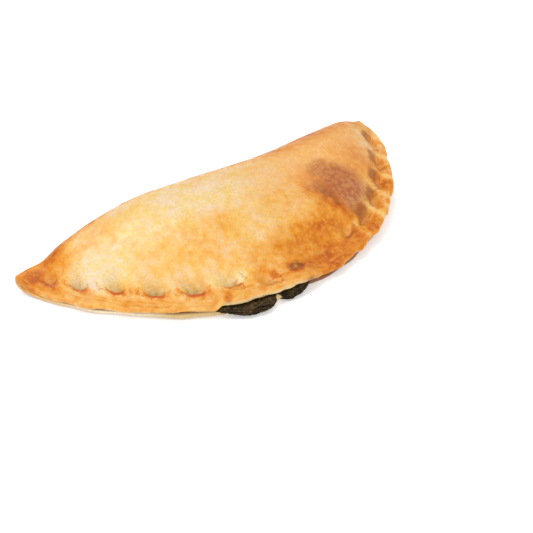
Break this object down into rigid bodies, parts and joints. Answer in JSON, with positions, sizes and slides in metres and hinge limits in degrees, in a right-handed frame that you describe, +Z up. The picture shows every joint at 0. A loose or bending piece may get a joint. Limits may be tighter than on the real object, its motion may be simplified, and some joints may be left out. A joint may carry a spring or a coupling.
{
  "type": "panzerotto",
  "caption": "Baked half-moon turnover: dough folded over a cooked leaf filling, its curved rim pressed shut by fingertip and parted at the front.",
  "frame": {"origin": "on the table, under the middle of the pastry's outline", "axes": "+X along the fold towards the blunt end, +Y towards the fold, +Z up"},
  "size_m": [0.183, 0.0788, 0.0287],
  "materials": {
    "baked_dough": "satin golden crust",
    "cooked_leaf": "moist dark leaf"
  },
  "bodies": {
    "root": {"pastry": "baked_dough", "filling": "cooked_leaf"}
  },
  "joints": []
}
